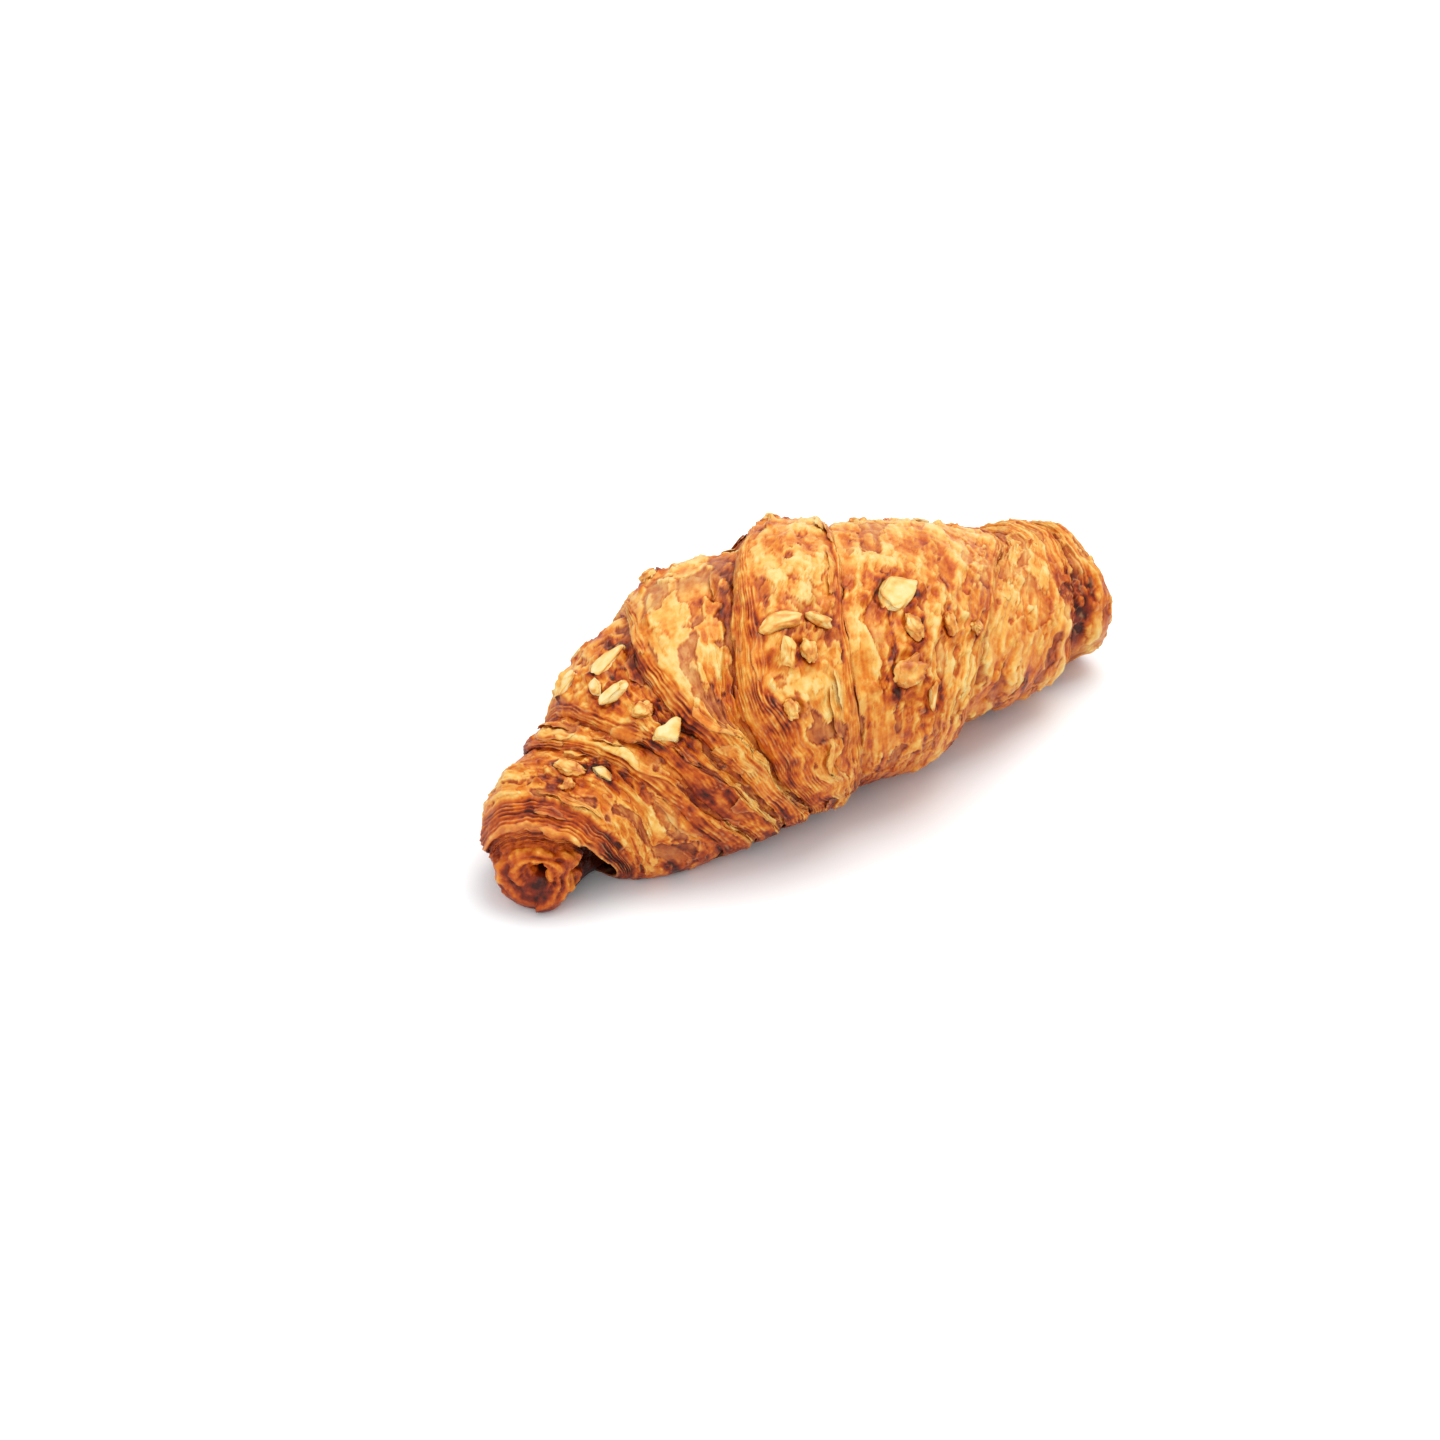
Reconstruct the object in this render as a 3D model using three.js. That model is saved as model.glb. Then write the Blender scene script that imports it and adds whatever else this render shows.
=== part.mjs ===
// A baked croissant with chopped nuts on its skin. Millimetres, +Z up, resting on z = 0.
// The roll lies along X: the open, bent end is at -X, the blunt end at +X, and the front faces -Y.
// Angles round the roll are degrees: 0 is the front, 90 the top, 180 the back and -90 the base.
import * as THREE from 'three';

// ---- overall sizes ----
const LENGTH = 170;            // from station zero, just clear of the core, to the blunt end
const GIRTH = 31.2;            // mean radius at the fattest station
const WIDTH_RATIO = 1.06;      // half width over mean radius
const HEIGHT_RATIO = 0.92;     // half height over mean radius
const SINK = 0.93;             // centre height over half height; less than one flattens the base
const BOW = 2.3;               // how far the middle bellies out to the front
const BEND_ANGLE = 40;         // how far the open end turns to the front
const BEND_FROM = 17.6;        // station where that turn begins

// Stations are in percent of LENGTH. The mean radius there is in percent of GIRTH.
const SILHOUETTE = [
  [5, 39], [8.2, 44], [16.5, 57], [27, 82], [37.6, 96], [49.4, 99], [61.2, 94],
  [73, 82], [81.2, 71], [89.4, 61], [96.5, 57], [100, 55],
];

// The lower half of a section is a rounded foot: below one it spreads, above one it tucks in.
const FOOT = [[5, 0.9], [13, 0.52], [22, 0.55], [30, 0.62], [46, 1.1], [60, 1.2], [80, 1.15], [100, 1]];

// ---- wraps of dough ----
// A lip is the edge of a wrap. Its stations are given every 45 degrees round the roll from the
// base: -90, -45, 0 (front), 45, 90 (top), 135, 180 (back), 225.
const LIPS = [
  { faces: -1, step: 0.0, at: [17.0, 15.0, 9.6, 7.6, 7.4, 7.6, 8.4, 12.5] },
  { faces: -1, step: 2.6, at: [28.2, 27.1, 21.2, 17.2, 14.4, 14.4, 16.8, 22.8] },
  { faces: -1, step: 2.4, at: [34.1, 31.8, 23.8, 20.5, 17.8, 18.1, 20.0, 27.1] },
  { faces: -1, step: 2.6, at: [38.8, 36.5, 29.1, 24.4, 24.7, 31.8, 34.1, 36.5] },
  { faces: -1, step: 4.8, at: [44.1, 40.9, 32.6, 30.7, 39.6, 53.0, 51.0, 46.5] },
  { faces: 1, step: 1.6, at: [50.6, 47.4, 44.2, 46.4, 56.5, 65.3, 64.7, 57.6] },
  { faces: 1, step: 2.4, at: [69.4, 66.5, 64.3, 74.7, 87.1, 88.2, 82.9, 74.7] },
  { faces: 1, step: 2.2, at: [88.8, 88.8, 89.3, 93.2, 96.2, 96.5, 94.1, 90.6] },
];
const LIP_RAMP_TOP = 1.8;      // length of the step from wrap to wrap, on the top
const LIP_RAMP_FRONT = 3.4;    // the same, low on the front
const LIP_FADE = 0.15;         // share of a step that is left under the base
const PUFF = 1.1;              // how far each wrap swells between its lips

// ---- open end: a collar of dough round the core it was rolled on ----
const COLLAR_FACE = 5;         // how far the collar's cut face runs past its skin
const COLLAR_THICK = 3.4;      // from the skin in to the collar's inner edge
const CORE_RADIUS = 9.4;
const CORE_CENTRE = 8.2;       // height of the core's centre
const CORE_FRONT = 6;          // how far the core's end face stands from station zero
const CORE_NOSE = [[3.4, 0], [2.2, 1.1], [0.9, 1.9], [0, 4.4], [0.5, 6.9], [1.9, 8.8]];  // inward, radius
const CORE_LENGTH = 2.6;       // straight part behind the nose
const GAP_DEPTH = [1, 9, 5, 2.5, 1.6, 1.5, 1, 1];  // slot between core and collar, every 45 degrees
const GAP_FILLET = 0.9;        // how much the core grows towards the slot's floor

// ---- blunt end ----
const END_RINGS = [[1.9, 0.95], [0.5, 0.84], [0, 0.66], [0.5, 0.42], [1.7, 0.2]];  // in from the end, share of radius
const DIMPLE = 2.6;            // how far the middle of the rolled end sinks

// ---- chopped nuts: station (percent), angle, length, width, height, turn from the roll's axis ----
const NUT_GAP = 0.4;           // between a nut and the crust under it
const NUTS = [
  ['flake', 22.1, 51, 6.6, 4.6, 1.5, -12], ['kernel', 21.2, 70, 4.6, 3.6, 2.2, -30],
  ['sliver', 20.8, 90, 6.6, 3.3, 1.6, -5], ['flake', 23.9, 110, 8.4, 4, 1.2, 10],
  ['sliver', 20.0, 102, 4.2, 2.4, 1.5, 60], ['sliver', 20.2, 128, 5.2, 3, 1.8, -5],
  ['kernel', 11.6, 82, 6.6, 3.8, 1.8, 90], ['sliver', 13.6, 60, 5.2, 3.4, 1.5, 105],
  ['crumb', 9.4, 76, 2.8, 2.6, 1.6, 0], ['kernel', 39.3, 47, 5.3, 4.2, 2.6, 76],
  ['stick', 36.6, 50, 6.4, 2.7, 2.4, 66], ['stick', 38.4, 61, 9.6, 3.6, 2.2, -14],
  ['stick', 43.4, 55, 6.6, 3, 2, -38], ['flake', 57.0, 55, 12.5, 7.4, 1.8, 14],
  ['kernel', 56.0, 39, 6.2, 5, 2.8, 100], ['crumb', 52.6, 24, 8.4, 7.4, 3.2, 45],
  ['kernel', 33.9, 31, 4.4, 3, 2.2, 80], ['kernel', 62.3, 35, 5.4, 3.2, 2.4, 76],
  ['crumb', 66.8, 31, 3.8, 3.4, 2.2, 0], ['stick', 55.2, 10, 6.8, 1.8, 1.3, 68],
  ['kernel', 37.0, 133, 5, 4, 2.4, 30], ['flake', 27.0, 152, 8, 5, 1.5, 60],
  ['kernel', 43.5, 158, 5.4, 4.2, 2.6, 15], ['stick', 57.0, 128, 8.4, 3, 2, 35],
  ['crumb', 59.5, 155, 7, 6, 2.8, 0], ['kernel', 71.0, 133, 5, 3.8, 2.3, 50],
  ['flake', 73.0, 158, 9, 5.6, 1.6, 75], ['sliver', 82.0, 130, 6.4, 3.2, 1.7, 20],
];

// ---- fineness of the faceted surface ----
const AROUND = 48;
const ACROSS_WRAP = [0, 0.1, 0.3, 0.5, 0.7, 0.9, 1];
const NUT_SIDES = 12;

const RADIANS = Math.PI / 180;
const mix = (a, b, t) => a + (b - a) * t;
const clamp = (x, low, high) => Math.min(Math.max(x, low), high);
const smooth = (t) => t * t * (3 - 2 * t);
const station = (percent) => (percent / 100) * LENGTH;

function cubic(a, b, c, d, t) {
  const m0 = (c - a) / 2;
  const m1 = (d - b) / 2;
  return b + t * (m0 + t * (3 * (c - b) - 2 * m0 - m1 + t * (2 * (b - c) + m0 + m1)));
}

// Value at an angle, from eight values that go round the roll.
function round8(values, angle) {
  const turn = (((angle + 90) % 360) + 360) % 360 / 45;
  const i = Math.floor(turn);
  const v = (k) => values[(k + 8) % 8];
  return cubic(v(i - 1), v(i), v(i + 1), v(i + 2), turn - i);
}

function meanRadius(s) {
  const percent = clamp((s / LENGTH) * 100, SILHOUETTE[0][0], 100);
  const last = SILHOUETTE.length - 1;
  let i = 0;
  while (i < last - 1 && percent > SILHOUETTE[i + 1][0]) i += 1;
  const [p0, r0] = SILHOUETTE[i];
  const [p1, r1] = SILHOUETTE[i + 1];
  const slope = (k) => {
    const [pa, ra] = SILHOUETTE[Math.max(k - 1, 0)];
    const [pb, rb] = SILHOUETTE[Math.min(k + 1, last)];
    return (rb - ra) / (pb - pa);
  };
  const t = (percent - p0) / (p1 - p0);
  const m0 = slope(i) * (p1 - p0);
  const m1 = slope(i + 1) * (p1 - p0);
  const r = r0 + t * (m0 + t * (3 * (r1 - r0) - 2 * m0 - m1 + t * (2 * (r0 - r1) + m0 + m1)));
  return (r / 100) * GIRTH;
}

// Centre line in plan: how far it lies to the back, and the turn of the section there.
function spine(s) {
  const from = station(BEND_FROM);
  const past = Math.max(from - s, 0);
  const slope = Math.tan(BEND_ANGLE * RADIANS) / from;
  const belly = BOW * (1 - (2 * s / LENGTH - 1) ** 2) * smooth(clamp(s / (2 * from), 0, 1));
  return { y: -slope * past * past / 1.5 - belly, turn: Math.atan(slope * past * 1.35) };
}

// Straight-line reading of a list of [percent, value].
function read(list, s) {
  const percent = clamp((s / LENGTH) * 100, list[0][0], 100);
  const i = Math.max(list.findIndex(([p]) => p >= percent), 1);
  const [[p0, v0], [p1, v1]] = [list[i - 1], list[i]];
  return mix(v0, v1, (percent - p0) / (p1 - p0));
}

// Point of a section: station, angle, radius of its outline and height of its centre.
function sectionPoint(s, angle, radius, centre) {
  const { y, turn } = spine(s);
  const side = Math.cos(angle * RADIANS);
  const power = angle < 0 || angle > 180 ? read(FOOT, s) : 1;
  const out = WIDTH_RATIO * radius * Math.sign(side) * Math.abs(side) ** power;
  const up = HEIGHT_RATIO * radius * Math.sin(angle * RADIANS);
  const x = s + out * Math.sin(turn) - LENGTH / 2;
  return new THREE.Vector3(x, y - out * Math.cos(turn), Math.max(centre + up, 0));
}

const skinCentre = (s) => SINK * HEIGHT_RATIO * meanRadius(s);
const lipStation = (lip, angle) => station(round8(lip.at, angle));

// A lip keeps its full step over the top and sides, and fades out under the base.
function lipStep(lip, angle) {
  const under = (1 - Math.sin(angle * RADIANS)) / 2;
  return lip.step * mix(1, LIP_FADE, smooth(clamp((under - 0.72) / 0.28, 0, 1)));
}

function lipRamp(angle) {
  return mix(LIP_RAMP_TOP, LIP_RAMP_FRONT, (1 - Math.sin(angle * RADIANS)) / 2);
}

// Height of the skin over the mean radius, inside one wrap; t runs from its left lip to its right.
function wrapHeight(left, right, angle, t) {
  const start = -left.faces * lipStep(left, angle) / 2;
  const end = right ? right.faces * lipStep(right, angle) / 2 : 0;
  return mix(start, end, smooth(t)) + PUFF * Math.sin(Math.PI * t);
}

function skinPoint(s, angle, lift = 0) {
  let k = LIPS.length - 1;
  while (k > 0 && s < lipStation(LIPS[k], angle)) k -= 1;
  const left = LIPS[k];
  const right = LIPS[k + 1];
  const ramp = lipRamp(angle) / 2;
  const from = lipStation(left, angle) + ramp;
  const to = right ? lipStation(right, angle) - ramp : LENGTH;
  let height = wrapHeight(left, right, angle, clamp((s - from) / (to - from), 0, 1));
  if (s < from && k > 0) height *= (s - from + ramp) / ramp;
  if (right && s > to) height *= (to + ramp - s) / ramp;
  return sectionPoint(s, angle, meanRadius(s) + height + lift, skinCentre(s));
}

function loop(pointAt) {
  return Array.from({ length: AROUND }, (_, i) => pointAt((360 * i) / AROUND - 90));
}

// A closed surface through a list of loops, with a point at each end.
function loft(first, loops, last) {
  const points = [first, ...loops.flat(), last];
  const faces = [];
  const n = loops[0].length;
  const at = (row, i) => 1 + row * n + (i % n);
  for (let i = 0; i < n; i += 1) {
    faces.push(0, at(0, i), at(0, i + 1));
    faces.push(points.length - 1, at(loops.length - 1, i + 1), at(loops.length - 1, i));
    for (let row = 0; row < loops.length - 1; row += 1) {
      faces.push(at(row, i), at(row + 1, i), at(row, i + 1));
      faces.push(at(row, i + 1), at(row + 1, i), at(row + 1, i + 1));
    }
  }
  const geometry = new THREE.BufferGeometry();
  geometry.setAttribute('position', new THREE.Float32BufferAttribute(points.flatMap((p) => p.toArray()), 3));
  geometry.setIndex(faces);
  geometry.computeVertexNormals();
  return geometry;
}

function croissantGeometry() {
  const collar = LIPS[0];
  const noseEnd = CORE_FRONT + CORE_NOSE[CORE_NOSE.length - 1][0] + CORE_LENGTH;
  const loops = [];
  for (const [past, radius] of CORE_NOSE.slice(1)) {
    loops.push(loop((a) => sectionPoint(CORE_FRONT + past, a, radius, CORE_CENTRE)));
  }
  const slotFloor = (a) => lipStation(collar, a) - COLLAR_FACE + round8(GAP_DEPTH, a);
  for (const t of [0, 0.5, 1]) {
    loops.push(loop((a) => {
      const s = mix(Math.min(noseEnd, slotFloor(a) - 0.6), slotFloor(a), t);
      return sectionPoint(s, a, CORE_RADIUS + GAP_FILLET * t, CORE_CENTRE + GAP_FILLET * t);
    }));
  }
  const rim = [
    [round8, 0.75, 1.15], [round8, 0.1, 1], [null, 0.3, 0.35], [null, 0.62, 0.08],
  ];
  for (const [inside, along, deep] of rim) {
    loops.push(loop((a) => {
      const edge = lipStation(collar, a);
      const slot = round8(GAP_DEPTH, a);
      const s = inside ? edge - COLLAR_FACE + slot * along : edge - COLLAR_FACE * (1 - along);
      return sectionPoint(s, a, meanRadius(edge) - COLLAR_THICK * deep, skinCentre(edge));
    }));
  }
  LIPS.forEach((left, k) => {
    const right = LIPS[k + 1];
    for (const t of ACROSS_WRAP) {
      loops.push(loop((a) => {
        const from = lipStation(left, a) + (k ? lipRamp(a) / 2 : 0);
        const to = right ? lipStation(right, a) - lipRamp(a) / 2 : LENGTH - END_RINGS[0][0] - 1;
        return skinPoint(mix(from, to, t), a);
      }));
    }
  });
  for (const [inward, share] of END_RINGS) {
    loops.push(loop((a) => sectionPoint(LENGTH - inward, a, meanRadius(LENGTH) * share, skinCentre(LENGTH))));
  }
  const nose = sectionPoint(CORE_FRONT + CORE_NOSE[0][0], 0, 0, CORE_CENTRE);
  const tail = sectionPoint(LENGTH - DIMPLE, 0, 0, skinCentre(LENGTH));
  return loft(nose, loops, tail);
}

// A nut follows the crust underneath and is domed above.
function nutGeometry(percent, angle, long, wide, high, turn) {
  const s = station(percent);
  const radius = meanRadius(s) * (WIDTH_RATIO + HEIGHT_RATIO) / 2;
  const ring = (share, lift) => Array.from({ length: NUT_SIDES }, (_, i) => {
    const a = (-360 * i) / NUT_SIDES * RADIANS;
    const along = (long / 2) * share * Math.cos(a);
    const aside = (wide / 2) * share * Math.sin(a);
    const c = Math.cos(turn * RADIANS);
    const d = Math.sin(turn * RADIANS);
    const across = along * d + aside * c;
    return skinPoint(s + along * c - aside * d, angle + across / radius / RADIANS, NUT_GAP + lift);
  });
  const loops = [ring(0.45, 0), ring(0.9, 0), ring(1, high * 0.3), ring(0.82, high * 0.75), ring(0.42, high * 0.97)];
  return loft(skinPoint(s, angle, NUT_GAP), loops, skinPoint(s, angle, NUT_GAP + high));
}

const group = new THREE.Group();
group.name = 'croissant_with_nuts';

function add(name, geometry, color, roughness) {
  const mesh = new THREE.Mesh(geometry, new THREE.MeshStandardMaterial({ color, roughness, metalness: 0 }));
  mesh.name = name;
  group.add(mesh);
}

add('croissant', croissantGeometry(), 0xcc8447, 0.5);
NUTS.forEach(([kind, ...sizes], i) => {
  add(`nut_${kind}_${String(i + 1).padStart(2, '0')}`, nutGeometry(...sizes), 0xeccb86, 0.55);
});

// The origin is under the middle of the whole object.
const middle = new THREE.Box3().setFromObject(group).getCenter(new THREE.Vector3());
for (const mesh of group.children) {
  mesh.position.set(-middle.x, -middle.y, 0);
}

export default group;
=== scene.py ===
"""A baked croissant with chopped nuts on its crust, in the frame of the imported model.

Lengths are millimetres until a mesh is made. The roll lies along X: the open, bent end at -X, the
blunt end at +X, the front at -Y. Angles round the roll are degrees: 0 front, 90 top, 180 back, -90 base.
"""

import math

import bmesh
import bpy
import numpy as np
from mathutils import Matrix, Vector


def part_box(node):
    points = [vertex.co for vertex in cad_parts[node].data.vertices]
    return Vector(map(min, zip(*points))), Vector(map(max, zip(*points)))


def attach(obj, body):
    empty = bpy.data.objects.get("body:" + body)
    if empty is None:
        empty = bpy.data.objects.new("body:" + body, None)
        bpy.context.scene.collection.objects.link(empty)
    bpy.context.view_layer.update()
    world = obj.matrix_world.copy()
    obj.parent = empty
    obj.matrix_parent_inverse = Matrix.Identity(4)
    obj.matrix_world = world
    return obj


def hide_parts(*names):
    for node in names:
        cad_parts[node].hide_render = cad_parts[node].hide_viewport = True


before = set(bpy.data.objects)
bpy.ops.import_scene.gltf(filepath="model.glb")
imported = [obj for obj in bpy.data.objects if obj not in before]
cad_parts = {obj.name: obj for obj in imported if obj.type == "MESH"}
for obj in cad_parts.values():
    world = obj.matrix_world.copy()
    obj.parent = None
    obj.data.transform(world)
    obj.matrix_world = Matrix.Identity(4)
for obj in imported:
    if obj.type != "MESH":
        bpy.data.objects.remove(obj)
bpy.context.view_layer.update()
MM = 0.001

# ---- overall form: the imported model's, but for small changes to the foot and the blunt end ----
LENGTH = 170.0
GIRTH = 31.2                   # largest mean radius of the roll
WIDTH_RATIO = 1.06             # half width over the mean radius
HEIGHT_RATIO = 0.92            # half height over the mean radius
SINK = 0.93                    # height of a section's centre over its half height
BOW = 2.3                      # how far the middle bulges to the front
BEND_ANGLE = 40.0              # turn of the open end, in degrees
BEND_FROM = 17.6               # where that turn starts, in percent of LENGTH

# Mean radius in percent of GIRTH, at stations in percent of LENGTH.
SILHOUETTE = [
    (5, 39), (8.2, 44), (16.5, 57), (27, 82), (37.6, 96), (49.4, 99), (61.2, 94),
    (73, 82), (81.2, 70), (89.4, 61), (96.5, 57.5), (100, 56),
]

# Shape of a section's lower half, at stations in percent of LENGTH: 1 is an ellipse, less is fuller.
FOOT = [
    (5, 0.9), (13, 0.52), (22, 0.55), (30, 0.62), (46, 1.1), (60, 1.2), (70, 1.25), (78, 1.55),
    (88, 1.4), (100, 1.1),
]

# A lip is the edge of a wrap of dough. faces: which way its cut edge looks along X; step: its height;
# face: length of the layered edge over the top and low on the front; at: stations in percent of
# LENGTH, every 45 degrees from the base.
LIPS = [
    dict(faces=-1, step=0.0, face=(5.0, 5.0), at=(17.0, 15.0, 9.6, 7.6, 7.4, 7.6, 8.4, 12.5)),
    dict(faces=-1, step=1.3, face=(1.0, 8.5), at=(28.2, 27.1, 21.2, 17.2, 14.4, 14.4, 16.8, 22.8)),
    dict(faces=-1, step=1.9, face=(1.4, 6.5), at=(34.1, 31.8, 23.8, 20.5, 17.8, 18.1, 20.0, 27.1)),
    dict(faces=-1, step=2.6, face=(2.2, 7.0), at=(38.8, 36.5, 29.1, 24.4, 24.7, 31.8, 34.1, 36.5)),
    dict(faces=-1, step=4.8, face=(4.6, 6.5), at=(44.1, 40.9, 32.6, 30.7, 39.6, 53.0, 51.0, 46.5)),
    dict(faces=1, step=1.0, face=(1.6, 3.2), at=(50.6, 47.4, 44.2, 46.4, 56.5, 65.3, 64.7, 57.6)),
    dict(faces=1, step=2.2, face=(2.0, 4.0), at=(69.4, 66.5, 64.3, 74.7, 87.1, 88.2, 82.9, 74.7)),
    dict(faces=1, step=2.2, face=(1.8, 3.0), at=(88.8, 88.8, 89.3, 93.2, 96.2, 96.5, 94.1, 90.6)),
]
FRONT_STEP = {-1: -0.5, 1: 0.9}   # change of the step low on the front, by the way the lip faces
PUFF = 1.1                     # rise of a wrap between its two lips
LIP_FADE = 0.15                # share of a lip's step that is left on the base
TUCK = 0.55                    # how far a lip hangs over the crease below it
PINCH = 0.45                   # extra depth of the crease
CREASE_WIDTH = 0.9             # from a lip to where the next wrap starts to rise

# The open end: a collar of dough round a rolled core, with a slot between them.
COLLAR_FACE = 5.0              # length of the collar's layered edge along X
CORE_RADIUS = 9.4
CORE_CENTRE = 8.2              # height of the core's centre
CORE_FRONT = 6.0               # station of the core's end face
CORE_SLIM = 0.30               # share taken off the core's radius on the front, where the slot is open
CORE_TILT = (1.2, -1.0, 3.8)   # shift of the hollow in the core's end face
# Depth of the slot and thickness of the collar's rim, every 45 degrees from the base.
GAP_DEPTH = (1, 10, 8.0, 2.6, 0.9, 0.9, 0.9, 1)
RIM_THICK = (2.4, 2.2, 2.5, 3.3, 3.6, 3.4, 3.2, 2.8)
# Rings of the core's end face from its hollow out: distance in from CORE_FRONT, radius.
CORE_RINGS = [
    (5.5, 0.4), (4.6, 1.1), (2.6, 1.5), (0.9, 2.0), (0.1, 3.2), (0, 4.8), (0.5, 6.9), (1.7, 8.6),
]
# Rings of the collar's edge from the inside out: share of COLLAR_FACE, depth over the rim's thickness.
COLLAR_RINGS = [(0.03, 0.86), (0.14, 0.66), (0.32, 0.44), (0.52, 0.26), (0.74, 0.12), (0.9, 0.04)]

# The blunt end: distance in from LENGTH and share of the radius of each ring, and the dimple's depth.
END_RINGS = [(1.6, 0.965), (0.4, 0.88), (0, 0.70), (0.5, 0.44), (1.9, 0.2)]
DIMPLE = 3.2
TAIL_START = LENGTH - END_RINGS[0][0] - 1.0
TAIL_PROFILE = LENGTH - 2.9    # station whose radius the tail's first ring takes

# ---- fineness ----
FINE_COLS = 440
COLS = FINE_COLS   # points round the roll
STEP = 0.22        # distance between rows

rng = np.random.default_rng(7)
GRADIENTS = rng.normal(size=(256, 3))
GRADIENTS /= np.linalg.norm(GRADIENTS, axis=1, keepdims=True)
SHUFFLE = rng.permutation(256)


# ---- noise: a seed is any number, and sets one field of noise apart from the others ----
def noise(x, y, z):
    """Gradient noise, about -1 to 1."""
    x, y, z = np.broadcast_arrays(x, y, z)
    cell = [np.floor(v).astype(np.int64) for v in (x, y, z)]
    part = [v - c for v, c in zip((x, y, z), cell)]
    ease = [p * p * p * (p * (p * 6 - 15) + 10) for p in part]
    total = np.zeros(x.shape)
    for dx in (0, 1):
        for dy in (0, 1):
            for dz in (0, 1):
                key = SHUFFLE[(cell[0] + dx) & 255]
                key = SHUFFLE[(key + cell[1] + dy) & 255]
                key = SHUFFLE[(key + cell[2] + dz) & 255]
                g = GRADIENTS[key]
                dot = g[..., 0] * (part[0] - dx) + g[..., 1] * (part[1] - dy) + g[..., 2] * (part[2] - dz)
                weight = 1.0
                for d, e in zip((dx, dy, dz), ease):
                    weight = weight * (e if d else 1 - e)
                total += dot * weight
    return total * 1.5


def fbm(p, size, octaves=3, seed=0.0, gain=0.5):
    """Layered noise over points p (..., 3), its largest features about size across."""
    total, power, scale = 0.0, 1.0, 1.0 / size
    for i in range(octaves):
        q = p * scale + seed + 17.3 * i
        total = total + power * noise(q[..., 0], q[..., 1], q[..., 2])
        power *= gain
        scale *= 2.03
    return total


def cells(p, size, seed):
    """Distance to the nearest of a jittered lattice of points, in cells, and that point's own number."""
    q = p / size + seed
    home = np.floor(q).astype(np.int64)
    best = np.full(q.shape[:-1], 9.0)
    owner = np.zeros(q.shape[:-1])
    for dx in (-1, 0, 1):
        for dy in (-1, 0, 1):
            for dz in (-1, 0, 1):
                cell = home + (dx, dy, dz)
                key = SHUFFLE[cell[..., 0] & 255]
                key = SHUFFLE[(key + cell[..., 1]) & 255]
                key = SHUFFLE[(key + cell[..., 2]) & 255]
                point = cell + 0.5 + 0.32 * GRADIENTS[key]
                away = np.linalg.norm(q - point, axis=-1)
                near = away < best
                best = np.where(near, away, best)
                owner = np.where(near, SHUFFLE[(key + 31) & 255] / 255.0, owner)
    return best, owner


def smooth(t):
    """0 to 1 with an eased start and end."""
    t = np.clip(t, 0, 1)
    return t * t * (3 - 2 * t)


def band(value, low, high):
    """0 below low, 1 above high, eased between."""
    return smooth((value - low) / (high - low))


def ridge(value, sharp):
    """1 along the zero line of a noise, falling away on both sides."""
    return np.clip(1 - np.abs(value), 0, 1) ** sharp


def round_noise(angle, turns, seed):
    """Noise that closes round the roll; more turns make more features."""
    return noise(np.cos(np.radians(angle)) * turns, np.sin(np.radians(angle)) * turns, seed)


def domes(far, size):
    """Half balls of that size over the points of cells()."""
    return np.sqrt(np.clip(1 - (far / size) ** 2, 0, 1))


# ---- the form ----
def cubic(a, b, c, d, t):
    """Smooth curve from b to c, with a and d as the points on either side."""
    m0, m1 = (c - a) / 2, (d - b) / 2
    return b + t * (m0 + t * (3 * (c - b) - 2 * m0 - m1 + t * (2 * (b - c) + m0 + m1)))


def round8(values, angle):
    """Eight values, every 45 degrees from the base, joined smoothly round the roll."""
    turn = ((np.asarray(angle) + 90) % 360) / 45
    i = np.floor(turn).astype(int)
    v = np.asarray(values, float)
    return cubic(v[(i - 1) % 8], v[i % 8], v[(i + 1) % 8], v[(i + 2) % 8], turn - i)


def mean_radius(s):
    """Mean radius of the roll at station s."""
    knots, radii = np.array(SILHOUETTE, float).T
    percent = np.clip(s / LENGTH * 100, knots[0], 100)
    i = np.clip(np.searchsorted(knots, percent, side="right") - 1, 0, len(knots) - 2)
    before, after = np.maximum(i - 1, 0), np.minimum(i + 2, len(knots) - 1)
    span = knots[i + 1] - knots[i]
    m0 = (radii[i + 1] - radii[before]) / (knots[i + 1] - knots[before]) * span
    m1 = (radii[after] - radii[i]) / (knots[after] - knots[i]) * span
    t = (percent - knots[i]) / span
    r0, r1 = radii[i], radii[i + 1]
    r = r0 + t * (m0 + t * (3 * (r1 - r0) - 2 * m0 - m1 + t * (2 * (r0 - r1) + m0 + m1)))
    return r / 100 * GIRTH


def spine(s):
    """Sideways place of the roll's middle at station s, and the turn of the section there."""
    start = BEND_FROM / 100 * LENGTH
    past = np.maximum(start - s, 0)
    slope = math.tan(math.radians(BEND_ANGLE)) / start
    belly = BOW * (1 - (2 * s / LENGTH - 1) ** 2) * smooth(s / (2 * start))
    return -slope * past * past / 1.5 - belly, np.arctan(slope * past * 1.35)


def section(s, angle, radius, centre):
    """Point at station s and angle on a section with that outline radius and centre height."""
    y, turn = spine(s)
    a = np.radians(angle)
    power = np.where(np.sin(a) < 0, np.interp(s / LENGTH * 100, *np.array(FOOT, float).T), 1.0)
    side = np.cos(a)
    out = WIDTH_RATIO * radius * np.sign(side) * np.abs(side) ** power
    up = HEIGHT_RATIO * radius * np.sin(a)
    return np.stack([s + out * np.sin(turn) - LENGTH / 2, y - out * np.cos(turn), centre + up], -1)


def skin_centre(s):
    """Height of the section's centre at station s."""
    return SINK * HEIGHT_RATIO * mean_radius(s)


def under(angle):
    """0 on the top, 1 on the base."""
    return (1 - np.sin(np.radians(angle))) / 2


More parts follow.
